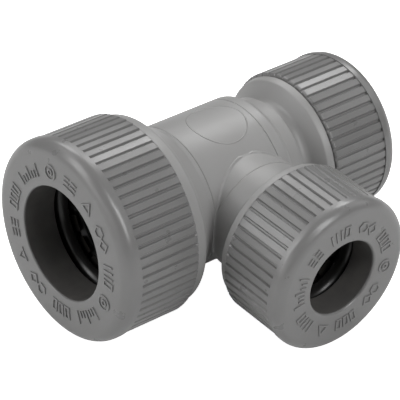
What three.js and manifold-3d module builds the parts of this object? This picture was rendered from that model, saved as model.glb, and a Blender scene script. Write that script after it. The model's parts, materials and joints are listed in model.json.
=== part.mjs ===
// Demountable push-fit reducing tee for 22 mm and 15 mm plastic or copper pipe.
//
// Row frame, millimetres: +Z up, the run lies along X with the 22 mm port towards -X and the 15 mm
// port towards +X, and the 15 mm branch points towards -Y. The origin is the centre of the bounding
// box, so all three port axes lie in the plane z = 0.
//
// Every port is drawn in a frame of its own: +Z points out of the port, along the pipe, and z = 0 is
// the outer face of its screw cap. Everything inside the port therefore has a negative z.

import * as THREE from "three";
import { mergeVertices } from "three/addons/utils/BufferGeometryUtils.js";
import Module from "manifold-3d";

const wasm = await Module();
wasm.setup();

// ---------------------------------------------------------------- driving dimensions

// Distance from the crossing of the axes to the outer face of each cap.
const FACE_LARGE = 35.9;
const FACE_RUN = 34;
const FACE_BRANCH = 37.5;

const THREAD_PITCH = 2;
const THREAD_DEPTH = 0.9;
const THREAD_STEPS = 24; // straight stretches in one turn of a thread
const THREAD_CLEARANCE = 0.35; // radial and axial play between a cap and the body
const GAP = 0.3; // free play kept between neighbouring loose pieces

// One entry for each pipe size. Radii are measured from the port's axis, and depths from the cap face.
const LARGE = {
  pipeRadius: 11,
  entryRadius: 11.15,
  capRadius: 19.75,
  capLength: 16.9,
  ribCount: 64,
  ribDepth: 0.5,
  noseLength: 4,
  noseRounding: 2.4,
  entryLip: 0.5,
  sleeveDepth: 7.3,
  carrierDepth: 8.2,
  socketRadius: 11.25,
  stopDepth: 27,
  spigotDepth: 11.9,
  threadRadius: 16.8,
  sealPocketRadius: 14.4,
  sealPocketDepth: 17.8,
  flangeRadius: 19,
  flangeThickness: 2.3,
  ringOuterRadius: 15.4,
  sealSection: 3,
  segments: 24,
  teeth: 16,
};
const SMALL = {
  pipeRadius: 7.5,
  entryRadius: 7.65,
  capRadius: 15.6,
  capLength: 15.4,
  ribCount: 50,
  ribDepth: 0.5,
  noseLength: 3.6,
  noseRounding: 2.1,
  entryLip: 0.7,
  sleeveDepth: 6.1,
  carrierDepth: 6.5,
  socketRadius: 7.75,
  stopDepth: 25,
  spigotDepth: 10.5,
  threadRadius: 13,
  sealPocketRadius: 10.6,
  sealPocketDepth: 15.5,
  flangeRadius: 14.9,
  flangeThickness: 1.5,
  ringOuterRadius: 11.7,
  sealSection: 2.6,
  segments: 24,
  teeth: 12,
};

// The guide sleeve lines the cap's bore, and the grip and sealing pieces stack behind it.
const SLEEVE_WALL = 0.9;
const SLEEVE_FLANGE = 0.9; // length of the flange that keeps the sleeve in the cap
const CARRIER_NOSE = 1.3; // rounding of the carrier's inner front edge
const GRAB_RING_THICKNESS = 0.7;
const GRAB_RING_ROOM = 1.2; // from the front of the grab ring to the end of the spigot
const GRAB_TOOTH_SLANT = 0.9; // how far a tooth tip leans into the body
const GRAB_TOOTH_BITE = 0.15; // how far the tips reach inside the pipe's radius
const SPACER_LENGTH = 1.8;
const SPACER_PLAY = 0.15; // radial play of the spacer washer in its pocket

const BARREL_RADIUS = 14;
const NECK_RADIUS = 11.1;
const LARGE_WATERWAY = 10;
const SMALL_WATERWAY = 6.4;
const BRANCH_ROOT_RADIUS = 10.8; // the branch neck where it grows out of the barrel
const BODY_SEGMENTS = 24;

const ports = [
  { name: "22", size: LARGE, face: FACE_LARGE, outward: new THREE.Vector3(-1, 0, 0) },
  { name: "run_15", size: SMALL, face: FACE_RUN, outward: new THREE.Vector3(1, 0, 0) },
  { name: "branch_15", size: SMALL, face: FACE_BRANCH, outward: new THREE.Vector3(0, -1, 0) },
];

// The crossing of the axes, seen from the centre of the bounding box.
const junction = new THREE.Vector3(
  (FACE_LARGE - FACE_RUN) / 2,
  (FACE_BRANCH - LARGE.capRadius) / 2,
  0,
);

// ---------------------------------------------------------------- materials

const darkCap = { color: 0x7e7d7b, roughness: 0.5, metalness: 0 };
const paleBody = { color: 0xa2a2a1, roughness: 0.5, metalness: 0 };
const blackAcetal = { color: 0x121212, roughness: 0.25, metalness: 0 };
const blackRubber = { color: 0x17191a, roughness: 0.55, metalness: 0 };
const springSteel = { color: 0xb9bcbe, roughness: 0.25, metalness: 1 };

// ---------------------------------------------------------------- helpers

// A closed geometry, placed by an optional matrix, as a solid that can be cut and joined.
function solid(geometry, matrix = new THREE.Matrix4()) {
  const bare = geometry.index ? geometry.toNonIndexed() : geometry.clone();
  bare.deleteAttribute("normal");
  bare.deleteAttribute("uv");
  bare.applyMatrix4(matrix);
  const merged = mergeVertices(bare, 1e-4);
  return new wasm.Manifold(
    new wasm.Mesh({
      numProp: 3,
      vertProperties: merged.attributes.position.array,
      triVerts: new Uint32Array(merged.index.array),
    }),
  );
}

// A solid back as a geometry with flat faces.
function geometryOf(manifold) {
  const mesh = manifold.getMesh();
  const indexed = new THREE.BufferGeometry();
  indexed.setAttribute("position", new THREE.BufferAttribute(mesh.vertProperties, 3));
  indexed.setIndex(new THREE.BufferAttribute(mesh.triVerts, 1));
  const flat = indexed.toNonIndexed();
  flat.computeVertexNormals();
  return flat;
}

// A ring turned about Z from a closed outline of [radius, z] points, listed anticlockwise.
function turned(outline, segments) {
  const points = [...outline, outline[0]].map(([radius, z]) => new THREE.Vector2(radius, z));
  return new THREE.LatheGeometry(points, segments).rotateX(Math.PI / 2).rotateZ(Math.PI / 2);
}

// A solid cylinder along Z between two heights.
function rod(radius, low, high, segments) {
  const cylinder = new THREE.CylinderGeometry(radius, radius, high - low, segments);
  return cylinder.rotateX(Math.PI / 2).rotateZ(Math.PI / 2).translate(0, 0, (low + high) / 2);
}

// Points on an arc in the [radius, z] plane, both ends included, angles in degrees.
function arc(centreRadius, centreZ, radius, from, to, steps) {
  return Array.from({ length: steps + 1 }, (_, i) => {
    const angle = THREE.MathUtils.degToRad(from + ((to - from) * i) / steps);
    return [centreRadius + radius * Math.cos(angle), centreZ + radius * Math.sin(angle)];
  });
}

// A right-handed screw ridge about Z. Its section is a trapezium from rootRadius to crestRadius, and
// the crest fades into the root over the first and last part of its length.
function screwRidge({ rootRadius, crestRadius, start, turns }) {
  const steps = Math.round(turns * THREAD_STEPS);
  const fadeSteps = THREAD_STEPS / 8;
  const rootHalf = THREAD_PITCH * 0.28;
  const crestHalf = THREAD_PITCH * 0.1;
  const positions = [];
  for (let i = 0; i <= steps; i++) {
    const angle = (i / THREAD_STEPS) * 2 * Math.PI;
    const middle = start + (i / THREAD_STEPS) * THREAD_PITCH;
    const fade = Math.min(1, (Math.min(i, steps - i) + 0.4) / fadeSteps);
    const crest = rootRadius + (crestRadius - rootRadius) * fade;
    const corners = [
      [rootRadius, middle - rootHalf],
      [crest, middle - crestHalf],
      [crest, middle + crestHalf],
      [rootRadius, middle + rootHalf],
    ];
    for (const [radius, z] of corners) {
      positions.push(radius * Math.cos(angle), radius * Math.sin(angle), z);
    }
  }
  const inward = crestRadius < rootRadius;
  const indices = [];
  const face = (a, b, c) => indices.push(...(inward ? [a, c, b] : [a, b, c]));
  for (let i = 0; i < steps; i++) {
    for (let side = 0; side < 4; side++) {
      const a = 4 * i + side;
      const b = 4 * i + ((side + 1) % 4);
      face(a, a + 4, b + 4);
      face(a, b + 4, b);
    }
  }
  const last = 4 * steps;
  face(0, 1, 2);
  face(0, 2, 3);
  face(last, last + 2, last + 1);
  face(last, last + 3, last + 2);
  const ridge = new THREE.BufferGeometry();
  ridge.setAttribute("position", new THREE.Float32BufferAttribute(positions, 3));
  ridge.setIndex(indices);
  return ridge;
}

// A named mesh with a material of its own.
function piece(name, geometry, finish) {
  const mesh = new THREE.Mesh(geometry, new THREE.MeshStandardMaterial(finish));
  mesh.name = name;
  return mesh;
}

// ---------------------------------------------------------------- screw cap

// Turns of thread that fit on the spigot, with half a pitch to spare at each end.
function threadTurns(size) {
  return (size.capLength + GAP - size.spigotDepth) / THREAD_PITCH - 1;
}

// The waste between the ribs: a collar whose inner outline is the ribbed outline of the cap.
function ribWaste(size) {
  const outside = size.capRadius + 1;
  const floor = size.capRadius - size.ribDepth;
  const collar = new THREE.Shape();
  collar.absarc(0, 0, outside, 0, 2 * Math.PI);
  const ribbed = new THREE.Path();
  const pitch = (2 * Math.PI) / size.ribCount;
  const corners = [
    [-0.3, size.capRadius + 0.05],
    [0.3, size.capRadius + 0.05],
    [0.38, floor],
    [0.62, floor],
  ];
  for (let rib = 0; rib < size.ribCount; rib++) {
    corners.forEach(([share, radius], i) => {
      const angle = (rib + share) * pitch;
      const x = radius * Math.cos(angle);
      const y = radius * Math.sin(angle);
      if (rib === 0 && i === 0) ribbed.moveTo(x, y);
      else ribbed.lineTo(x, y);
    });
  }
  ribbed.closePath();
  collar.holes.push(ribbed);
  const length = size.capLength - size.noseLength + 1;
  const waste = new THREE.ExtrudeGeometry(collar, { depth: length, bevelEnabled: false, curveSegments: 24 });
  return waste.translate(0, 0, -size.capLength - 1);
}

function screwCap(size) {
  const inside = size.threadRadius + THREAD_CLEARANCE;
  const rounding = size.noseRounding;
  const blank = turned(
    [
      [size.entryRadius - 1, -size.capLength],
      [size.capRadius - 0.4, -size.capLength],
      [size.capRadius, -size.capLength + 0.4],
      ...arc(size.capRadius - rounding, -rounding, rounding, 0, 90, 3),
      [size.entryRadius - 1, 0],
    ],
    size.ribCount,
  );
  const wellFloor = -size.sleeveDepth + SLEEVE_FLANGE + GAP;
  const entry = rod(size.entryRadius + 0.1, wellFloor - 1, 1, size.segments);
  const sleeveSeat = rod(sleeveRadius(size) + GAP, wellFloor - 1, -size.entryLip, size.segments);
  const threadWell = rod(inside, -size.capLength - 1, wellFloor, size.segments);
  const femaleThread = screwRidge({
    rootRadius: inside + 0.3,
    crestRadius: size.threadRadius - THREAD_DEPTH + THREAD_CLEARANCE,
    start: -size.capLength - GAP + THREAD_PITCH,
    turns: threadTurns(size),
  });
  const hollow = solid(entry).add(solid(sleeveSeat)).add(solid(threadWell));
  return geometryOf(solid(blank).subtract(hollow).subtract(solid(ribWaste(size))).add(solid(femaleThread)));
}

// ---------------------------------------------------------------- grip and seal pieces

function sleeveRadius(size) {
  return size.entryRadius + SLEEVE_WALL;
}

function guideSleeve(size) {
  const front = -size.entryLip - GAP;
  const back = -size.sleeveDepth;
  const outer = sleeveRadius(size);
  return turned(
    [
      [size.entryRadius, back],
      [size.ringOuterRadius, back],
      [size.ringOuterRadius, back + SLEEVE_FLANGE],
      [outer, back + SLEEVE_FLANGE],
      [outer, front],
      [size.entryRadius, front],
    ],
    size.segments,
  );
}

function grabRingFront(size) {
  return GRAB_RING_ROOM - size.spigotDepth;
}

function ringCarrier(size) {
  const front = -size.carrierDepth;
  const back = grabRingFront(size) + GAP;
  const inner = size.entryRadius;
  return turned(
    [
      [size.ringOuterRadius, back],
      [size.ringOuterRadius, front],
      ...arc(inner + CARRIER_NOSE, front - CARRIER_NOSE, CARRIER_NOSE, 90, 180, 3),
      [inner, back],
    ],
    size.segments,
  );
}

function grabRing(size) {
  const front = grabRingFront(size);
  const tipRadius = size.pipeRadius - GRAB_TOOTH_BITE;
  const bandInner = size.pipeRadius + 1.5;
  const band = turned(
    [
      [bandInner, front - GRAB_RING_THICKNESS],
      [size.ringOuterRadius, front - GRAB_RING_THICKNESS],
      [size.ringOuterRadius, front],
      [bandInner, front],
    ],
    size.segments,
  );
  const toothWidth = ((2 * Math.PI * tipRadius) / size.teeth) * 0.62;
  const side = new THREE.Shape([
    new THREE.Vector2(bandInner + 0.5, front),
    new THREE.Vector2(tipRadius, front - GRAB_TOOTH_SLANT),
    new THREE.Vector2(tipRadius, front - GRAB_TOOTH_SLANT - 0.35),
    new THREE.Vector2(bandInner + 0.5, front - GRAB_RING_THICKNESS),
  ]);
  const tooth = new THREE.ExtrudeGeometry(side, { depth: toothWidth, bevelEnabled: false });
  tooth.translate(0, 0, -toothWidth / 2).rotateX(Math.PI / 2);
  let ring = solid(band);
  for (let i = 0; i < size.teeth; i++) {
    const turn = new THREE.Matrix4().makeRotationZ((2 * Math.PI * (i + 0.5)) / size.teeth);
    ring = ring.add(solid(tooth, turn));
  }
  return geometryOf(ring);
}

function spacerWasher(size) {
  const front = -size.spigotDepth - GAP;
  const outer = size.sealPocketRadius - GAP - SPACER_PLAY;
  const inner = size.pipeRadius + 0.35;
  return turned(
    [
      [inner, front - SPACER_LENGTH],
      [outer, front - SPACER_LENGTH],
      [outer, front],
      [inner + 0.9, front],
      [inner, front - 0.9],
    ],
    size.segments,
  );
}

function sealRing(size) {
  const tube = size.sealSection / 2;
  const centreRadius = size.sealPocketRadius - GAP - tube;
  const centreZ = -size.sealPocketDepth + GAP + tube;
  const ring = new THREE.TorusGeometry(centreRadius, tube, 6, size.segments);
  return ring.rotateZ(Math.PI / 2).translate(0, 0, centreZ);
}

// ---------------------------------------------------------------- body

// The plain end of a socket in the port's frame: flange, threaded spigot and the wall behind them.
function spigotOutline(size) {
  const root = size.threadRadius - THREAD_DEPTH;
  const flangeFace = -size.capLength - GAP;
  return [
    [size.flangeRadius - 0.4, flangeFace],
    [root, flangeFace],
    [root, -size.spigotDepth - 0.5],
    [root - 0.5, -size.spigotDepth],
  ];
}

function maleThread(size) {
  return screwRidge({
    rootRadius: size.threadRadius - THREAD_DEPTH - 0.3,
    crestRadius: size.threadRadius,
    start: -size.capLength - GAP + THREAD_PITCH / 2,
    turns: threadTurns(size),
  });
}

// The outside of each arm from the junction out to the flange, in the port's frame.
function armOutline(port) {
  const { size, face, name } = port;
  const flangeFace = -size.capLength - GAP;
  const at = (distance) => distance - face;
  const rim = [
    [size.flangeRadius - 0.4, flangeFace - size.flangeThickness],
    [size.flangeRadius, flangeFace - 0.4],
  ];
  if (name === "22") {
    return [
      [BARREL_RADIUS, at(0)],
      [BARREL_RADIUS, at(11.5)],
      [BARREL_RADIUS + 1.1, at(13.2)],
      [BARREL_RADIUS + 3.1, at(15.4)],
      ...rim,
    ];
  }
  const groove = arc(NECK_RADIUS + 2.5, flangeFace - 4, 2.5, 180, 130, 2);
  if (name === "run_15") {
    return [
      [BARREL_RADIUS, at(0)],
      ...arc(BARREL_RADIUS - 1.4, at(7.8), 1.4, 0, 90, 3),
      ...arc(NECK_RADIUS + 0.1, at(11.7), 1.2, 0, 60, 2),
      ...groove,
      ...rim,
    ];
  }
  return [
    [BRANCH_ROOT_RADIUS, at(0)],
    [BRANCH_ROOT_RADIUS, at(9)],
    [NECK_RADIUS, at(13.6)],
    ...groove,
    ...rim,
  ];
}

// A port's own frame, seen from the junction.
function portFrame(port) {
  const turn = new THREE.Quaternion().setFromUnitVectors(new THREE.Vector3(0, 0, 1), port.outward);
  const place = port.outward.clone().multiplyScalar(port.face);
  return new THREE.Matrix4().compose(place, turn, new THREE.Vector3(1, 1, 1));
}

function teeBody() {
  const core = 0.5; // the arms are turned as rings round this core, which the waterways cut away
  let body = null;
  for (const port of ports) {
    const outline = [[core, -port.face], ...armOutline(port), ...spigotOutline(port.size)];
    outline.push([core, -port.size.spigotDepth]);
    const arm = solid(turned(outline, BODY_SEGMENTS), portFrame(port));
    body = body ? body.add(arm) : arm;
    body = body.add(solid(maleThread(port.size), portFrame(port)));
  }
  for (const port of ports) {
    const { size, face } = port;
    const waterway = size === LARGE ? LARGE_WATERWAY : SMALL_WATERWAY;
    const bores = [
      rod(waterway, -face - 1, -size.stopDepth + 1, BODY_SEGMENTS),
      rod(size.socketRadius, -size.stopDepth, -size.sealPocketDepth + 1, BODY_SEGMENTS),
      rod(size.sealPocketRadius, -size.sealPocketDepth, -size.spigotDepth + 1, BODY_SEGMENTS),
    ];
    for (const bore of bores) body = body.subtract(solid(bore, portFrame(port)));
  }
  return geometryOf(body);
}

// ---------------------------------------------------------------- assembly

const tee = new THREE.Group();
tee.name = "push_fit_tee";

const body = piece("tee_body", teeBody(), paleBody);
body.position.copy(junction);
tee.add(body);

for (const port of ports) {
  const { name, size } = port;
  const socket = new THREE.Group();
  socket.add(
    piece("screw_cap_" + name, screwCap(size), darkCap),
    piece("guide_sleeve_" + name, guideSleeve(size), blackAcetal),
    piece("ring_carrier_" + name, ringCarrier(size), blackAcetal),
    piece("grab_ring_" + name, grabRing(size), springSteel),
    piece("spacer_washer_" + name, spacerWasher(size), blackAcetal),
    piece("o_ring_" + name, sealRing(size), blackRubber),
  );
  socket.applyMatrix4(portFrame(port));
  socket.position.add(junction);
  tee.add(socket);
}

export default tee;
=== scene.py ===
"""Looks of a push-fit reducing tee: a pale moulded body with three ribbed screw caps, and in each port
a guide sleeve, a ring carrier, a grab ring, a spacer washer and an O-ring.

Lengths are in millimetres while a shape is drawn, and become metres when its mesh is made. Every port
has a frame of its own: +Z points out of the port, and z = 0 is the outer face of its screw cap.
"""

import json
import math
import random

import bmesh
import bpy
import numpy as np
from mathutils import Matrix, Vector


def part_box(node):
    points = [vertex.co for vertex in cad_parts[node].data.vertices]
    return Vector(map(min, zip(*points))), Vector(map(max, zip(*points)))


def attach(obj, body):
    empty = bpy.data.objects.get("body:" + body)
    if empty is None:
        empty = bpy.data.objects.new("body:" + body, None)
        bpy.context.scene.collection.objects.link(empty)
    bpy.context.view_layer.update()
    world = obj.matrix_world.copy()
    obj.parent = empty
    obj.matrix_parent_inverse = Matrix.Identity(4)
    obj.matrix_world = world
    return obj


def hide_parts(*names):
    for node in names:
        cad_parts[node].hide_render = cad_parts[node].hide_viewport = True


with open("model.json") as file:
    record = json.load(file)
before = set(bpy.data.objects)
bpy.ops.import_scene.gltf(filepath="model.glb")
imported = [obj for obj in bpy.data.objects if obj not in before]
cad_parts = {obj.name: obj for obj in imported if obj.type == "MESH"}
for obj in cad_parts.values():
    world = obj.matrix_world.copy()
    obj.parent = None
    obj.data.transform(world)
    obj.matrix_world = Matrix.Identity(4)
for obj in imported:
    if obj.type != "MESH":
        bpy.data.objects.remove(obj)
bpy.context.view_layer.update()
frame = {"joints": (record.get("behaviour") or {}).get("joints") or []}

MM = 0.001
TURN = 2 * math.pi

# ------------------------------------------------------------------ driving sizes

# Pipes, bores, spigots, pockets and stops have the CAD's sizes. Threads, flanges, noses, ribs and the
# carrier's rounding differ a little from the CAD's, for looks.

THREAD_PITCH = 2.0
THREAD_DEPTH = 0.88
THREAD_CLEARANCE = 0.35
GAP = 0.3
CAP_SEAM = 0.08  # what shows between a closed cap and the flange of the body
SLEEVE_SEAM = 0.06  # what shows between a sleeve's front edge and the lip of its cap
THREAD_MARGIN = 0.6  # how far past the end of a spigot a thread is still looked for
FINE_STEP = 0.15  # longest mesh edge along an outline where a thread or a fillet is raised from it

LARGE = {
    "pipe": 11.0,
    "entry": 11.15,
    "ribs": 64,
    "nose": 3.6,
    "rounding": 2.4,
    "entry_lip": 0.5,
    "socket": 11.25,
    "stop": 27.0,
    "spigot": 11.9,
    "thread": 16.8,
    "pocket": 14.4,
    "pocket_depth": 17.8,
    "flange": 19.0,
    "flange_depth": 2.2,
    "flange_rounding": 0.9,
    "carrier_nose": 2.4,
    "waterway": 10.0,
    "teeth": 16,
    "mark_height": 2.3,
}
SMALL = {
    "pipe": 7.5,
    "entry": 7.65,
    "ribs": 50,
    "nose": 3.1,
    "rounding": 2.1,
    "entry_lip": 0.7,
    "socket": 7.75,
    "stop": 25.0,
    "spigot": 10.5,
    "thread": 13.0,
    "pocket": 10.6,
    "pocket_depth": 15.5,
    "flange": 14.9,
    "flange_depth": 1.6,
    "flange_rounding": 0.5,
    "carrier_nose": 1.4,
    "waterway": 6.4,
    "teeth": 12,
    "mark_height": 2.1,
}
SIZES = {"22": LARGE, "run_15": SMALL, "branch_15": SMALL}

RIB_DEPTH = 0.4
NOSE_LIP = 0.18  # how far the smooth nose stands above the ribs, whose ends are square to it
RIB_LAND = 0.31  # half of a rib's flat top, as a share of the distance between ribs
SLEEVE_WALL = 0.9
SLEEVE_FLANGE = 0.9
MARK_RELIEF = 0.22  # how far the moulded marks stand proud of a cap's face
MARK_STROKE = 0.42
BARREL_RADIUS = 14.0
NECK_RADIUS = 11.1
NECK_ROOT_RADIUS = 10.8
SADDLE_FILLET = 0.35
WITNESS_DEPTH = 0.13  # depth of the lines that the mould's sliding cores leave
GATE_RING_RADIUS = 5.7
GRIP_END = 0.03  # length of the square wall from the grip up to the nose
TUCK = 0.3  # how far the end of a stroke runs on past its last point, in stroke widths
FIRST_SEED = 11
ROOM_LIGHT = 0.03  # what the white room sends to the object from every side
SOFTBOX_DISTANCE = 0.7  # in metres

# ------------------------------------------------------------------ what the frame gives


def port_frame(name):
    """The port's own frame, in millimetres."""
    turn_joint = next(j for j in frame["joints"] if j["name"] == "cap_turn_" + name)
    outward = Vector(turn_joint["axis"])
    low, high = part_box("screw_cap_" + name)
    reach = abs((high - low).dot(outward)) / 2
    place = ((low + high) / 2 + outward * reach) / MM
    turn = Vector((0, 0, 1)).rotation_difference(outward)
    return Matrix.Translation(place) @ turn.to_matrix().to_4x4()


FRAMES = {name: port_frame(name) for name in SIZES}
JUNCTION = Vector((FRAMES["branch_15"].translation.x, FRAMES["22"].translation.y, 0))


def face_distance(name):
    """From the crossing of the axes to the outer face of a port's cap."""
    return (FRAMES[name].translation - JUNCTION).length


def extent(name, node):
    """(outer radius, back height, front height) of a round node in its port's frame."""
    to_port = FRAMES[name].inverted()
    low, high = (to_port @ (corner / MM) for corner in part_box(node + "_" + name))
    radius = max(abs(low.x), abs(high.x), abs(low.y), abs(high.y))
    return radius, min(low.z, high.z), max(low.z, high.z)


def cap_length(name):
    return -extent(name, "screw_cap")[1]


def flange_face(name):
    """Height of the body's flange, which the cap closes against."""
    return -cap_length(name) - CAP_SEAM


# ------------------------------------------------------------------ outlines


def rounded(corners, step=10):
    """A closed outline from (radius, height, fillet) corners, with an arc for every fillet."""

    def room(side, neighbour_fillet):
        return max(0.49 * side.length, side.length - 1.05 * neighbour_fillet - 0.02)

    points = []
    for i, (radius, height, fillet) in enumerate(corners):
        here = Vector((radius, height))
        if not fillet:
            points.append((radius, height))
            continue
        last = corners[i - 1]
        following = corners[(i + 1) % len(corners)]
        before = Vector(last[:2]) - here
        after = Vector(following[:2]) - here
        half = before.angle(after) / 2
        reach = min(fillet / math.tan(half), room(before, last[2]), room(after, following[2]))
        size = reach * math.tan(half)
        bisector = (before.normalized() + after.normalized()).normalized()
        middle = here + bisector * size / math.sin(half)
        start = here + before.normalized() * reach - middle
        finish = here + after.normalized() * reach - middle
        sweep = math.atan2(start.x * finish.y - start.y * finish.x, start.dot(finish))
        pieces = max(2, math.ceil(abs(math.degrees(sweep)) / step))
        for k in range(pieces + 1):
            spoke = Matrix.Rotation(sweep * k / pieces, 2) @ start
            points.append(tuple(middle + spoke))
    return points


def subdivided(outline, longest):
    """The same closed outline, with no stretch longer than longest(radius, height) allows."""
    points = []
    for (r0, z0), (r1, z1) in zip(outline, outline[1:] + outline[:1]):
        length = math.hypot(r1 - r0, z1 - z0)
        pieces = max(1, math.ceil(length / longest((r0 + r1) / 2, (z0 + z1) / 2)))
        points += [(r0 + (r1 - r0) * k / pieces, z0 + (z1 - z0) * k / pieces) for k in range(pieces)]
    return points


def smooth(value):
    """0 below 0, 1 above 1 and an S-curve between."""
    clipped = np.clip(value, 0, 1)
    return clipped * clipped * (3 - 2 * clipped)


# ------------------------------------------------------------------ meshes


def mesh_object(name, vertices, faces):
    """An object from points in millimetres in the frame of the whole coupling."""
    mesh = bpy.data.meshes.new(name)
    mesh.from_pydata([tuple(v) for v in np.asarray(vertices) * MM], [], faces)
    welded = bmesh.new()
    welded.from_mesh(mesh)
    bmesh.ops.remove_doubles(welded, verts=welded.verts, dist=1e-4 * MM)
    welded.to_mesh(mesh)
    welded.free()
    piece = bpy.data.objects.new(name, mesh)
    bpy.context.scene.collection.objects.link(piece)
    return piece


def shaded(piece, sharp_degrees=32):
    piece.data.shade_smooth()
    piece.data.set_sharp_from_angle(angle=math.radians(sharp_degrees))
    return piece


def placed(points, matrix):
    """Points, one in each row, moved by a 4 x 4 matrix."""
    move = np.array(matrix)
    return points @ move[:3, :3].T + move[:3, 3]


def turned(name, outline, matrix, columns=144, angles=None, shape=None):
    """A closed outline turned about Z. shape may move each (radius, height) at each angle."""
    line = np.array(outline)
    spin = np.arange(columns) * TURN / columns if angles is None else angles
    radius = np.repeat(line[:, :1], len(spin), axis=1)
    height = np.repeat(line[:, 1:], len(spin), axis=1)
    angle = np.repeat(spin[None, :], len(line), axis=0)
    if shape:
        radius, height = shape(radius, height, angle)
    points = np.stack([radius * np.cos(angle), radius * np.sin(angle), height], axis=-1)
    after = np.roll(line, -1, axis=0)
    anticlockwise = np.sum(line[:, 0] * after[:, 1] - after[:, 0] * line[:, 1]) > 0
    rows, columns = radius.shape
    faces = []
    for i in range(rows):
        lower = i * columns
        upper = ((i + 1) % rows) * columns
        for j in range(columns):
            k = (j + 1) % columns
            quad = (lower + j, lower + k, upper + k, upper + j)
            faces.append(quad if anticlockwise else quad[::-1])
    return mesh_object(name, placed(points.reshape(-1, 3), matrix), faces)


def combine(target, tool, operation):
    """Joins or cuts the target with a tool, which is used up."""
    step = target.modifiers.new("step", "BOOLEAN")
    step.operation = operation
    step.solver = "EXACT"
    step.object = tool
    bpy.context.view_layer.update()
    result = target.evaluated_get(bpy.context.evaluated_depsgraph_get())
    made = bpy.data.meshes.new_from_object(result)
    target.modifiers.clear()
    target.data = made
    bpy.data.objects.remove(tool)


# ------------------------------------------------------------------ materials


class Shader:
    """A Principled material under construction, with short calls for its nodes."""

    def __init__(self, name, **constants):
        self.material = bpy.data.materials.new(name)
        self.material.use_nodes = True
        self.tree = self.material.node_tree
        self.surface = self.tree.nodes["Principled BSDF"]
        self.place = self.node("ShaderNodeTexCoord").outputs["Object"]
        for socket, value in constants.items():
            self.surface.inputs[socket.replace("_", " ")].default_value = value

    def node(self, kind, inputs=None, **settings):
        made = self.tree.nodes.new(kind)
        for key, value in settings.items():
            setattr(made, key, value)
        for key, value in (inputs or {}).items():
            self.connect(value, made.inputs[key])
        return made

    def connect(self, value, socket):
        """Links an output to a socket, or sets the socket to a plain value."""
        if isinstance(value, bpy.types.NodeSocket):
            self.tree.links.new(value, socket)
        else:
            socket.default_value = value

    def noise(self, size_mm, detail=3.0, stretch=(1, 1, 1)):
        """Noise whose features are about size_mm across, drawn out along the axes by stretch."""
        scale = tuple(1 / s for s in stretch)
        mapped = self.node("ShaderNodeMapping", {"Vector": self.place, "Scale": scale})
        inputs = {"Vector": mapped.outputs[0], "Scale": 1 / (size_mm * MM), "Detail": detail}
        return self.node("ShaderNodeTexNoise", inputs).outputs["Fac"]

    def spread(self, value, low, high, to_low=0.0, to_high=1.0):
        """A value between low and high, stretched to run from to_low to to_high."""
        inputs = {"Value": value, "From Min": low, "From Max": high, "To Min": to_low, "To Max": to_high}
        return self.node("ShaderNodeMapRange", inputs).outputs["Result"]

    def mix(self, share, first, second):
        made = self.node("ShaderNodeMix", data_type="RGBA")
        self.connect(share, made.inputs[0])
        self.connect(first, made.inputs[6])
        self.connect(second, made.inputs[7])
        return made.outputs[2]

    def maths(self, operation, first, second):
        made = self.node("ShaderNodeMath", operation=operation)
        self.connect(first, made.inputs[0])
        self.connect(second, made.inputs[1])
        return made.outputs[0]

    def edges(self, low, high):
        """1 on crisp outer edges, and 0 on flat faces."""
        return self.spread(self.node("ShaderNodeNewGeometry").outputs["Pointiness"], low, high)

    def bumps(self, *layers):
        """Bump from (height, depth in millimetres) layers."""
        normal = None
        for height, depth in layers:
            inputs = {"Height": height, "Distance": depth * MM, "Strength": 1.0}
            if normal:
                inputs["Normal"] = normal
            normal = self.node("ShaderNodeBump", inputs).outputs["Normal"]
        self.set("Normal", normal)

    def set(self, socket, value):
        self.connect(value, self.surface.inputs[socket])


def grey(level, warmth=0.0):
    return (level * (1 + warmth), level, level * (1 - warmth), 1)


def moulded_plastic(name, tone, worn_tone, roughness, grain_depth):
    """Satin moulded plastic: cloudy tone, fine texture from the mould, light scuffs and rubbed edges."""
    shader = Shader(name, IOR=1.56)
    cloud = shader.spread(shader.noise(9, 4), 0.3, 0.7)
    base = shader.mix(cloud, grey(tone * 0.975, 0.012), grey(tone * 1.025, 0.006))
    speck = shader.spread(shader.noise(0.35, 2), 0.62, 0.8)
    base = shader.mix(shader.maths("MULTIPLY", speck, 0.12), base, grey(tone * 0.8, 0.02))
    patches = shader.spread(shader.noise(2.2, 5), 0.42, 0.62)
    rubbed = shader.maths("MULTIPLY", shader.edges(0.515, 0.6), patches)
    base = shader.mix(shader.maths("MULTIPLY", rubbed, 0.2), base, grey(worn_tone))
    along = shader.spread(shader.noise(0.5, 1, stretch=(30, 1, 1)), 0.66, 0.74)
    across = shader.spread(shader.noise(0.5, 1, stretch=(1, 26, 1)), 0.67, 0.75)
    scuffs = shader.maths("MAXIMUM", along, across)
    base = shader.mix(shader.maths("MULTIPLY", scuffs, 0.04), base, grey(worn_tone))
    shader.set("Base Color", base)
    sheen = shader.spread(shader.noise(3.5, 4), 0.3, 0.7, roughness - 0.02, roughness + 0.03)
    shader.set("Roughness", shader.maths("ADD", sheen, shader.maths("MULTIPLY", scuffs, 0.03)))
    shader.bumps((shader.noise(0.28, 3), grain_depth), (shader.noise(4.5, 2), 0.015))
    return shader.material


def acetal(name, tone, roughness):
    """Smooth engineering plastic with faint swirls and fine hairlines."""
    shader = Shader(name, IOR=1.48)
    cloud = shader.spread(shader.noise(3, 4), 0.3, 0.7)
    base = shader.mix(cloud, grey(tone * 0.88, 0.03), grey(tone * 1.12, 0.05))
    hairline = shader.spread(shader.noise(0.25, 1, stretch=(1, 1, 24)), 0.68, 0.76)
    base = shader.mix(shader.maths("MULTIPLY", hairline, 0.05), base, grey(0.05))
    shader.set("Base Color", base)
    sheen = shader.spread(shader.noise(1.4, 4), 0.3, 0.7, roughness - 0.03, roughness + 0.05)
    shader.set("Roughness", sheen)
    shader.bumps((shader.noise(0.4, 2), 0.0008), (shader.noise(3, 2), 0.01))
    return shader.material


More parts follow.
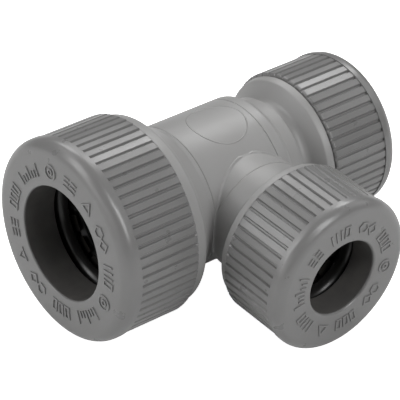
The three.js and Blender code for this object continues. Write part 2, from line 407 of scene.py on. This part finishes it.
def rubber(name):
    """Matt black seal rubber with a dusty bloom and a coarse, soft grain."""
    shader = Shader(name, IOR=1.5)
    bloom = shader.spread(shader.noise(1.1, 5), 0.4, 0.75)
    base = shader.mix(bloom, grey(0.01), grey(0.03, 0.02))
    shader.set("Base Color", base)
    shader.set("Roughness", shader.spread(shader.noise(0.9, 4), 0.3, 0.7, 0.45, 0.7))
    shader.bumps((shader.noise(0.12, 3), 0.006), (shader.noise(1.6, 2), 0.02))
    return shader.material


def shade_painted_steel(name):
    """Stamped steel strip, near black as painted shade, with fine rolling lines and a faint straw tint."""
    shader = Shader(name, Metallic=1.0)
    tint = shader.spread(shader.noise(2.4, 3), 0.35, 0.7)
    # Painted shade: both colours are near black so that the teeth look as dark as the shaded depths of the
    # bore.
    base = shader.mix(tint, grey(0.02), (0.028, 0.025, 0.021, 1))
    shader.set("Base Color", base)
    lines = shader.noise(0.08, 2, stretch=(40, 1, 1))
    shader.set("Roughness", shader.spread(lines, 0.3, 0.7, 0.5, 0.65))
    shader.bumps((lines, 0.003), (shader.noise(0.6, 3), 0.004))
    return shader.material


CAP_PLASTIC = moulded_plastic("cap_plastic_satin", 0.184, 0.25, 0.29, 0.006)
BODY_PLASTIC = moulded_plastic("body_plastic_satin", 0.295, 0.36, 0.42, 0.006)
SLEEVE_ACETAL = acetal("acetal_graphite", 0.085, 0.45)
BLACK_ACETAL = acetal("acetal_black", 0.012, 0.32)
SEAL_RUBBER = rubber("rubber_black")
# The grab ring's steel is painted near black, as painted shade deep in the bore.
SHADE_PAINTED_STEEL = shade_painted_steel("steel_spring_painted_shade")


def finished(piece, body, slot, material, *nodes):
    """Gives a piece its material and its body, and hides the CAD nodes that it stands for. The slot is not
    used.
    """
    piece.data.materials.clear()
    piece.data.materials.append(material)
    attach(piece, body)
    if nodes:
        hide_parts(*nodes)


# ------------------------------------------------------------------ screw threads


def thread_turns(name):
    return (cap_length(name) + GAP - SIZES[name]["spigot"]) / THREAD_PITCH - 1


def thread_relief(height, angle, start, turns):
    """How much of a screw ridge stands at each place: 1 on the crest, and 0 between the turns."""
    half_foot = 0.27  # half of the ridge's width at its foot, in pitches
    flank = 0.16  # in pitches
    fade = 0.14  # in turns, at each end of the thread
    share = angle / TURN
    turn = np.round((height - start) / THREAD_PITCH - share) + share
    off_centre = np.abs(height - start - turn * THREAD_PITCH) / THREAD_PITCH
    ridge = smooth((half_foot - off_centre) / flank)
    to_the_end = np.minimum(turn, turns - turn)
    return ridge * smooth(to_the_end / fade + 0.1) * (to_the_end > -0.02)


# ------------------------------------------------------------------ screw cap


def rib_columns(count):
    """Angles of columns that follow every rib, and how far the rib's outline has sunk at each.

    The top of a rib is flat. Its sunk depth is given as a share of the cap's radius, and that of the
    flanks and the floor between ribs as a share of the rib's depth. Places on a rib are shares of the
    distance between ribs, from the middle of the rib.
    """
    pitch = TURN / count
    flank = {RIB_LAND: 0, 0.33: 0.12, 0.35: 0.4, 0.42: 1}
    half = [0, 0.2, *flank]
    shares = [-share for share in half[:0:-1]] + half + [0.5]
    angles = np.array([(rib + share) * pitch for rib in range(count) for share in shares])
    on_top = [min(abs(share), RIB_LAND) * pitch for share in shares]
    flat = [1 - math.cos(RIB_LAND * pitch) / math.cos(angle) for angle in on_top]
    depth = [0 if abs(share) < RIB_LAND else flank.get(abs(share), 1) for share in shares]
    return angles, np.tile(np.array(flat), count), np.tile(np.array(depth), count)


def screw_cap(name):
    size = SIZES[name]
    radius, back, _ = extent(name, "screw_cap")
    inside = size["thread"] + THREAD_CLEARANCE
    seat = size["entry"] + SLEEVE_WALL + GAP
    well = extent(name, "guide_sleeve")[1] + SLEEVE_FLANGE + GAP
    mouth = size["entry"] + 0.03
    skin = 1.2  # thicker than the ribs are high, and thinner than the wall of the cap
    nose = -size["nose"]
    corners = [
        (inside, back, 0.3),
        (radius, back, 0.4),
        (radius, nose - 0.1, 0),
        (radius, nose - GRIP_END, 0),
        (radius, nose, 0),
        (radius, -MARK_RELIEF, size["rounding"]),
        (mouth, -MARK_RELIEF, 0.5),
        (mouth, -size["entry_lip"], 0),
        (seat, -size["entry_lip"], 0),
        (seat, well, 0.1),
        (inside, well, 0.2),
    ]

    def longest(r, z):
        on_thread = abs(r - inside) < 0.05 and z < THREAD_MARGIN - size["spigot"]
        return FINE_STEP if on_thread else 2.5

    columns, flat, depth = rib_columns(size["ribs"])
    turns = thread_turns(name)

    def shape(r, z, angle):
        on_grip = smooth((nose - z) / GRIP_END) * (r > radius - skin)
        on_wall = np.abs(r - inside) < 0.02
        thread = thread_relief(z, angle, back - GAP + THREAD_PITCH, turns) * on_wall
        sunk = NOSE_LIP + flat * radius + depth * RIB_DEPTH
        return r - on_grip * sunk - THREAD_DEPTH * thread, z

    outline = subdivided(rounded(corners, step=9), longest)
    cap = turned("cap_shell_" + name, outline, FRAMES[name], angles=columns, shape=shape)
    finished(shaded(cap), "cap_" + name, "cap_plastic", CAP_PLASTIC, "screw_cap_" + name)


# ------------------------------------------------------------------ moulded marks on a cap's face


def polygon_mark(sides, radius=0.5, start=0.0):
    turns = [start + TURN * k / sides for k in range(sides)]
    return [(radius * math.cos(a), radius * math.sin(a)) for a in turns], True


# Strokes on a unit square as (points, closed), and the width that the mark takes up in the row.
MARKS = {
    "tick": (0.5, [([(0, -0.5), (0, 0.5)], False)]),
    "short_tick": (0.42, [([(0, -0.5), (0, 0)], False)]),
    "frame": (0.8, [([(-0.24, -0.5), (0.24, -0.5), (0.24, 0.5), (-0.24, 0.5)], True)]),
    "rungs": (0.85, [([(-0.27, h), (0.27, h)], False) for h in (-0.42, 0, 0.42)]),
    "two_rings": (1.5, [polygon_mark(24, 0.62), polygon_mark(14, 0.24)]),
    "three_sides": (1.25, [polygon_mark(3, 0.58, TURN / 4)]),
    "four_sides": (1.1, [polygon_mark(4, 0.5)]),
    "six_sides": (1.15, [polygon_mark(6, 0.5)]),
    "space": (0.9, []),
}
MARK_GROUPS = [
    ["tick", "short_tick", "short_tick", "tick", "short_tick", "short_tick", "tick"],
    ["frame", "frame", "frame"],
    ["two_rings"],
    ["rungs", "rungs"],
    ["three_sides"],
    ["tick", "tick", "tick", "frame"],
    ["six_sides", "four_sides"],
]


# Across a stroke, as (share of its width, height above the cap's face). Its foot is under the face.
STROKE_SECTION = ((-0.5, -0.1), (-0.36, MARK_RELIEF), (0.36, MARK_RELIEF), (0.5, -0.1))


def stroke_ridge(points, closed):
    """Vertices and faces of a low ridge with sloping sides, along a line in the plane z = 0."""
    line = [Vector(p) for p in points]
    count = len(line)
    vertices = []
    for i, here in enumerate(line):
        before = line[i - 1] if closed or i else None
        after = line[(i + 1) % count] if closed or i < count - 1 else None
        incoming = (here - before).normalized() if before else (after - here).normalized()
        outgoing = (after - here).normalized() if after else incoming
        across = (incoming + outgoing).normalized().orthogonal()
        stretch = 1 / max(0.5, across.dot(incoming.orthogonal()))
        overrun = Vector((0, 0))
        if not before:
            overrun = -outgoing * MARK_STROKE * TUCK
        if not after:
            overrun = incoming * MARK_STROKE * TUCK
        for offset, height in STROKE_SECTION:
            spot = here + overrun + across * offset * MARK_STROKE * stretch
            vertices.append((spot.x, spot.y, height - MARK_RELIEF))
    faces = []
    for i in range(count if closed else count - 1):
        a = 4 * i
        b = 4 * ((i + 1) % count)
        faces += [(a + k, a + (k + 1) % 4, b + (k + 1) % 4, b + k) for k in range(4)]
    if not closed:
        last = 4 * (count - 1)
        faces += [(3, 2, 1, 0), (last, last + 1, last + 2, last + 3)]
    return vertices, faces


def mark_row(seed, length):
    """A row of the groups in seeded order, which fills a length given in mark heights."""

    def row_length(marks):
        return sum(MARKS[mark][0] for mark in marks)

    draw = random.Random(seed)
    row = []
    while row_length(row) < length - 4:
        for group in draw.sample(MARK_GROUPS, len(MARK_GROUPS)):
            if row_length(row + group) < length - 0.5:
                row += [*group, "space"]
    return row


def mould_marks(name, seed):
    size = SIZES[name]
    radius = extent(name, "screw_cap")[0]
    middle = (size["entry"] + radius - size["rounding"]) / 2
    height = size["mark_height"]
    around = TURN * middle / height
    row = mark_row(seed, around)
    stretch = around / sum(MARKS[mark][0] for mark in row)  # closes the row on itself
    vertices = []
    faces = []
    travelled = 0.0
    for mark in row:
        width, strokes = MARKS[mark]
        angle = -(travelled + width * stretch / 2) * height / middle
        travelled += width * stretch
        out = Vector((math.cos(angle), math.sin(angle)))
        side = Vector((math.sin(angle), -math.cos(angle)))
        for points, closed in strokes:
            spots = [out * (middle + y * height) + side * x * height for x, y in points]
            corners, quads = stroke_ridge(spots, closed)
            first = len(vertices)
            vertices += corners
            faces += [tuple(first + k for k in quad) for quad in quads]
    marks = mesh_object("mould_marks_" + name, placed(np.array(vertices), FRAMES[name]), faces)
    outward = bmesh.new()
    outward.from_mesh(marks.data)
    bmesh.ops.recalc_face_normals(outward, faces=outward.faces)
    outward.to_mesh(marks.data)
    outward.free()
    finished(shaded(marks, 50), "cap_" + name, "cap_plastic", CAP_PLASTIC)


# ------------------------------------------------------------------ rings inside a port


def guide_sleeve(name):
    outer, back, front = extent(name, "guide_sleeve")
    inner = SIZES[name]["entry"]
    tube = inner + SLEEVE_WALL
    front += GAP - SLEEVE_SEAM
    corners = [
        (inner, back, 0.25),
        (outer, back, 0.2),
        (outer, back + SLEEVE_FLANGE, 0.15),
        (tube, back + SLEEVE_FLANGE, 0.15),
        (tube, front, 0.2),
        (inner, front, 0.05),
    ]
    outline = subdivided(rounded(corners), lambda r, z: 1.5)
    sleeve = turned("sleeve_shell_" + name, outline, FRAMES[name])
    finished(shaded(sleeve), "rings_" + name, "black_acetal", SLEEVE_ACETAL, "guide_sleeve_" + name)


def ring_carrier(name):
    outer, back, front = extent(name, "ring_carrier")
    inner = SIZES[name]["entry"]
    nose = SIZES[name]["carrier_nose"]
    corners = [(inner, back, 0.15), (outer, back, 0.2), (outer, front, 0.2), (inner, front, nose)]
    carrier = turned("carrier_shell_" + name, rounded(corners, step=8), FRAMES[name])
    finished(shaded(carrier), "rings_" + name, "black_acetal", BLACK_ACETAL, "ring_carrier_" + name)


def grab_ring(name):
    """A stamped ring whose teeth lean into the body, cut from one strip of sheet."""
    size = SIZES[name]
    outer, back, front = extent(name, "grab_ring")
    sheet = 0.3
    rim = size["pipe"] + 1.7
    tip = size["pipe"] - 0.13
    top = front - 0.15
    outline = [
        (rim, top - sheet),
        (outer, top - sheet),
        (outer, top),
        (rim, top),
        (rim - 0.2, top - 0.03),
        (tip, back + 0.32),
        (tip, back + 0.08),
        (rim - 0.2, top - 0.03 - sheet),
    ]
    tooth_shares = [0.0, 0.2, 0.4, 0.6, 0.74]
    slot_shares = [0.755, 0.87, 0.985]
    shares = tooth_shares + slot_shares
    angles = np.array([(k + s) * TURN / size["teeth"] for k in range(size["teeth"]) for s in shares])
    in_slot = np.tile(np.array([0.0] * len(tooth_shares) + [1.0] * len(slot_shares)), size["teeth"])

    def shape(r, z, angle):
        cut = in_slot * (r < rim - 0.3)
        upper = z > back + 0.2
        root_height = np.where(upper, top - 0.04, top - 0.04 - sheet)
        return r + cut * (rim - 0.25 - r), z + cut * (root_height - z)

    ring = turned("teeth_ring_" + name, outline, FRAMES[name], angles=angles, shape=shape)
    finished(shaded(ring), "rings_" + name, "stainless_steel", SHADE_PAINTED_STEEL, "grab_ring_" + name)


def spacer_washer(name):
    outer, back, front = extent(name, "spacer_washer")
    inner = SIZES[name]["pipe"] + 0.35
    corners = [
        (inner, back, 0.15),
        (outer, back, 0.2),
        (outer, front, 0.2),
        (inner + 0.9, front, 0.2),
        (inner, front - 0.9, 0.2),
    ]
    washer = turned("washer_shell_" + name, rounded(corners), FRAMES[name])
    finished(shaded(washer), "tee", "black_acetal", BLACK_ACETAL, "spacer_washer_" + name)


def o_ring(name):
    """A round-section ring with the thin flash that its mould leaves inside and outside."""
    outer, back, front = extent(name, "o_ring")
    tube = (front - back) / 2
    flash = 0.05
    outline = []
    for k in range(48):
        angle = TURN * k / 48
        reach = tube - flash + flash * max(0.0, abs(math.cos(angle)) - 0.98) / 0.02
        spoke = (reach * math.cos(angle), reach * math.sin(angle))
        outline.append((outer - tube + spoke[0], (front + back) / 2 + spoke[1]))
    ring = turned("seal_ring_" + name, outline, FRAMES[name])
    finished(shaded(ring), "tee", "seal_rubber", SEAL_RUBBER, "o_ring_" + name)


# ------------------------------------------------------------------ tee body


def witness_line(radius, height, rise=-WITNESS_DEPTH):
    """Corners that press a thin line into a straight stretch of an outline, or raise one from it."""
    return [
        (radius, height - 0.2, 0),
        (radius + rise, height, 0),
        (radius, height + 0.1, 0),
    ]


def arm_corners(name):
    """Outside of one arm out to its flange. The branch's starts on the crossing of the axes.

    A height written as a number less the face's distance is measured from that crossing.
    """
    size = SIZES[name]
    flange = flange_face(name)
    face = face_distance(name)
    rim = [
        (size["flange"] - 0.35, flange - size["flange_depth"], size["flange_rounding"]),
        (size["flange"], flange, 0.25),
    ]
    if name == "22":
        return [
            *witness_line(BARREL_RADIUS, 10.35 - face),
            (BARREL_RADIUS + 0.25, 11.5 - face, 1.5),
            (BARREL_RADIUS + 3.1, 15.2 - face, 1.2),
            *rim,
        ]
    if name == "run_15":
        return [
            *witness_line(BARREL_RADIUS, 6.6 - face),
            (BARREL_RADIUS, 9.1 - face, 1.5),
            (NECK_RADIUS + 1.5, 9.9 - face, 0.8),
            (NECK_RADIUS + 1.25, 12.9 - face, 0.35),
            (NECK_RADIUS - 0.25, 13.3 - face, 0.8),
            (NECK_RADIUS - 0.15, flange - 3.3, 1.6),
            *rim,
        ]
    return [
        (NECK_ROOT_RADIUS, -face, 0),
        (NECK_ROOT_RADIUS, 9 - face, 0),
        *witness_line(NECK_RADIUS, 13.6 - face, 0.1),
        (NECK_RADIUS + 0.05, flange - 3.3, 1.6),
        *rim,
    ]


def run_radius(x):
    """Radius of the run where it is x from the branch's axis, towards the 15 mm port if x > 0."""
    sides = []
    for name, side in (("22", -1), ("run_15", 1)):
        line = rounded([(BARREL_RADIUS, -face_distance(name), 0), *arm_corners(name)])
        distance = np.maximum.accumulate(np.array([z for _, z in line]) + face_distance(name))
        sides.append((side * distance, np.array([r for r, _ in line])))
    (left, left_radius), (right, right_radius) = sides
    all_x = np.concatenate([left[::-1], right])
    return np.interp(x, all_x, np.concatenate([left_radius[::-1], right_radius]))


def port_section(name):
    """Corners of the body's wall at one port: out along the arm, round the spigot and back inside."""
    size = SIZES[name]
    flange = flange_face(name)
    root = size["thread"] - THREAD_DEPTH
    spigot = -size["spigot"]
    pocket_floor = -size["pocket_depth"]
    return [
        *arm_corners(name),
        (root, flange, 0.3),
        (root, spigot - 0.5, 0.1),
        (root - 0.5, spigot, 0.1),
        (size["pocket"] + 0.4, spigot, 0),
        (size["pocket"], spigot - 0.5, 0),
        (size["pocket"], pocket_floor, 0.3),
        (size["socket"], pocket_floor, 0.4),
        (size["socket"], -size["stop"], 0.2),
        (size["waterway"], -size["stop"], 0.3),
    ]


def threaded(name, r, z, angle):
    """Radii with the spigot's thread raised, where a place is on the spigot."""
    root = SIZES[name]["thread"] - THREAD_DEPTH
    flange = flange_face(name)
    end = THREAD_MARGIN - SIZES[name]["spigot"]
    on_root = (np.abs(r - root) < 0.02) & (z > flange + 0.05) & (z < end)
    start = -cap_length(name) - GAP + THREAD_PITCH / 2
    return r + THREAD_DEPTH * thread_relief(z, angle, start, thread_turns(name)) * on_root


def run_shell():
    """The straight run with its two spigots, hollow, as one ring turned in the 22 mm port's frame."""
    span = face_distance("22") + face_distance("run_15")
    step = -face_distance("22") - 1
    near = port_section("22") + [(LARGE["waterway"], step, 0.5)]
    far = [(r, -span - z, fillet) for r, z, fillet in reversed(port_section("run_15"))]
    corners = near + [(SMALL["waterway"], step, 0.3)] + far
    ends = [(SIZES[name]["thread"] - THREAD_DEPTH, flange_face(name)) for name in ("22", "run_15")]

    def longest(r, z):
        on_thread = any(abs(r - root) < 0.05 and max(z, -span - z) > flange for root, flange in ends)
        return FINE_STEP if on_thread else 1.6

    def shape(r, z, angle):
        r = threaded("22", r, z, angle)
        return threaded("run_15", r, -span - z, math.pi - angle), z

    return turned("tee_run", subdivided(rounded(corners), longest), FRAMES["22"], columns=180, shape=shape)


def branch_shell():
    """The branch from inside the run's wall to its spigot, hollow, with a small fillet at the saddle."""
    name = "branch_15"
    face = face_distance(name)
    root = SMALL["thread"] - THREAD_DEPTH
    corners = port_section(name) + [(SMALL["waterway"], -face, 0)]

    def longest(r, z):
        on_thread = abs(r - root) < 0.05 and z > flange_face(name)
        near_saddle = r > NECK_ROOT_RADIUS - 0.2 and 8 < z + face < 16
        return FINE_STEP if on_thread or near_saddle else 1.6

    def shape(r, z, angle):
        hidden = run_radius(r * np.cos(angle)) ** 2 - (r * np.sin(angle)) ** 2
        above = z + face - np.sqrt(np.maximum(hidden, 0))
        share = 1 - np.clip(above / SADDLE_FILLET, 0, 1)
        on_neck = (r > NECK_ROOT_RADIUS - 0.2) & (z < flange_face(name) - 3)
        filleted = r + SADDLE_FILLET * (1 - np.sqrt(1 - share ** 2)) * on_neck
        return threaded(name, filleted, z, angle), z

    outline = subdivided(rounded(corners), longest)
    return turned("tee_branch", outline, FRAMES[name], columns=180, shape=shape)


def waterway(name, inner_end, outer_end):
    """A plug as wide as a port's waterway, between two distances from the crossing of the axes."""
    face = face_distance(name)
    width = SIZES[name]["waterway"]
    corners = [(0, inner_end), (width, inner_end), (width, outer_end), (0, outer_end)]
    outline = subdivided([(r, distance - face) for r, distance in corners], lambda r, z: 2.5)
    return turned("plug_" + name, outline, FRAMES[name], columns=120)


def gate_ring():
    """The low ring that the mould's gate insert leaves on top of the barrel, near its middle."""
    off_x = -0.37
    off_y = -0.66

    def shape(r, z, angle):
        across = r * np.sin(angle) + off_y
        return r, np.sqrt(BARREL_RADIUS ** 2 - across ** 2) + z

    half = 0.18
    outline = [
        (GATE_RING_RADIUS - half, -0.3),
        (GATE_RING_RADIUS + half, -0.3),
        (GATE_RING_RADIUS + half, -0.03),
        (GATE_RING_RADIUS, 0.1),
        (GATE_RING_RADIUS - half, -0.03),
    ]
    place = Matrix.Translation(JUNCTION + Vector((off_x, off_y, 0)))
    ring = turned("gate_ring", outline, place, columns=96, shape=shape)
    finished(shaded(ring, 60), "tee", "body_plastic", BODY_PLASTIC)


def tee_body():
    run = run_shell()
    combine(run, waterway("branch_15", 0, 20), "DIFFERENCE")
    branch = branch_shell()
    combine(branch, waterway("22", -1, 12), "DIFFERENCE")
    combine(branch, waterway("run_15", -2, 12), "DIFFERENCE")
    for shell in (run, branch):
        finished(shaded(shell), "tee", "body_plastic", BODY_PLASTIC, "tee_body")


# ------------------------------------------------------------------ assembly

tee_body()
gate_ring()
for seed, port in enumerate(SIZES):
    screw_cap(port)
    mould_marks(port, FIRST_SEED + seed)
    guide_sleeve(port)
    ring_carrier(port)
    grab_ring(port)
    spacer_washer(port)
    o_ring(port)

# ------------------------------------------------------------------ stage


def resting_plane():
    """Upward normal of the table that the three unequal caps stand on, and its height along it."""
    normal = Vector((0, 0, 1))
    for _ in range(30):
        feet = []
        for name in SIZES:
            size = SIZES[name]
            radius, back, _ = extent(name, "screw_cap")
            axis = FRAMES[name].to_3x3() @ Vector((0, 0, 1))
            down = -(normal - axis * normal.dot(axis)).normalized()
            ends = [(radius - NOSE_LIP, back + 0.4), (radius, -size["nose"]), (radius, -size["rounding"])]
            spots = [FRAMES[name].translation + axis * z + down * r for r, z in ends]
            feet.append(min(spots, key=lambda spot: spot.dot(normal)))
        normal = (feet[1] - feet[0]).cross(feet[2] - feet[0]).normalized()
        if normal.z < 0:
            normal = -normal
    return normal, feet[0].dot(normal)


def table():
    normal, height = resting_plane()
    across = normal.orthogonal().normalized()
    along = normal.cross(across)
    centre = JUNCTION - normal * (JUNCTION.dot(normal) - height)
    reach = 1500
    sides = ((-1, -1), (1, -1), (1, 1), (-1, 1))
    corners = [tuple(centre + (across * a + along * b) * reach) for a, b in sides]
    floor = mesh_object("table", corners, [(0, 1, 2, 3)])
    paper = Shader("paper_white", Roughness=0.9)
    cloud = paper.spread(paper.noise(160, 2), 0.3, 0.7)
    paper.set("Base Color", paper.mix(cloud, grey(0.87), grey(0.9)))
    paper.bumps((paper.noise(1.5, 3), 0.02))
    # The glow shows to the camera only, so the table looks white and its glow lights nothing.
    paper.surface.inputs["Emission Color"].default_value = (1, 1, 1, 1)
    seen = paper.node("ShaderNodeLightPath").outputs["Is Camera Ray"]
    paper.set("Emission Strength", seen)
    floor.data.materials.append(paper.material)


def direction(azimuth, elevation):
    """Unit vector towards a light or camera. Azimuth 0 is the side of the branch, and 90 is +X."""
    a = math.radians(azimuth)
    e = math.radians(elevation)
    return Vector((math.sin(a) * math.cos(e), -math.cos(a) * math.cos(e), math.sin(e)))


# Azimuth and elevation in degrees, width and height in metres, and power in watts.
SOFTBOXES = {
    "front": (8, 38, 0.24, 0.36, 1.85),
    "high_front": (-9, 58, 0.2, 0.2, 0.8),
    "left": (-120, 36, 0.26, 0.4, 1.45),
    "low_left": (-112, 14, 0.4, 0.3, 0.75),
    "rear_left": (-150, 45, 0.3, 0.3, 0.4),
    "end": (-80, 15, 0.4, 0.3, 0.42),
    "back_right": (122, 48, 0.22, 0.22, 1.25),
    "back": (160, 42, 0.3, 0.3, 1.2),
    "right": (75, 38, 0.4, 0.4, 0.6),
}


def soft_light(name, azimuth, elevation, width, height, power):
    lamp = bpy.data.lights.new(name, "AREA")
    lamp.shape = "RECTANGLE"
    lamp.size = width
    lamp.size_y = height
    lamp.energy = power
    light = bpy.data.objects.new(name, lamp)
    towards = direction(azimuth, elevation)
    light.location = JUNCTION * MM + towards * SOFTBOX_DISTANCE
    light.rotation_euler = towards.to_track_quat("Z", "Y").to_euler()
    bpy.context.scene.collection.objects.link(light)


def studio():
    for name, settings in SOFTBOXES.items():
        soft_light(name + "_softbox", *settings)
    world = bpy.data.worlds.new("white_room")
    world.use_nodes = True
    tree = world.node_tree
    light_path = tree.nodes.new("ShaderNodeLightPath")
    brightness = tree.nodes.new("ShaderNodeMapRange")
    brightness.inputs["To Min"].default_value = ROOM_LIGHT
    brightness.inputs["To Max"].default_value = 1.0
    tree.links.new(light_path.outputs["Is Camera Ray"], brightness.inputs["Value"])
    tree.nodes["Background"].inputs["Color"].default_value = (1, 1, 1, 1)
    tree.links.new(brightness.outputs["Result"], tree.nodes["Background"].inputs["Strength"])
    bpy.context.scene.world = world


def camera():
    """A long lens at the photograph's viewing angle, aimed a little off the crossing of the axes."""
    azimuth = -42.32
    elevation = 35.39
    roll = math.radians(4.62)
    distance = 472.3
    aim_right = -2.06
    aim_up = -3.76
    back = direction(azimuth, elevation)
    right = Vector((math.cos(math.radians(azimuth)), math.sin(math.radians(azimuth)), 0))
    up = back.cross(right)
    across = right * math.cos(roll) + up * math.sin(roll)
    above = up * math.cos(roll) - right * math.sin(roll)
    place = (JUNCTION + back * distance + across * aim_right + above * aim_up) * MM
    turn = Matrix((across, above, back)).transposed()
    lens = bpy.data.cameras.new("camera")
    lens.lens = 224.3
    lens.sensor_width = 36
    lens.clip_end = 10
    eye = bpy.data.objects.new("camera", lens)
    eye.matrix_world = Matrix.Translation(place) @ turn.to_4x4()
    bpy.context.scene.collection.objects.link(eye)
    bpy.context.scene.camera = eye


table()
studio()
camera()
bpy.context.scene.view_settings.view_transform = "Standard"
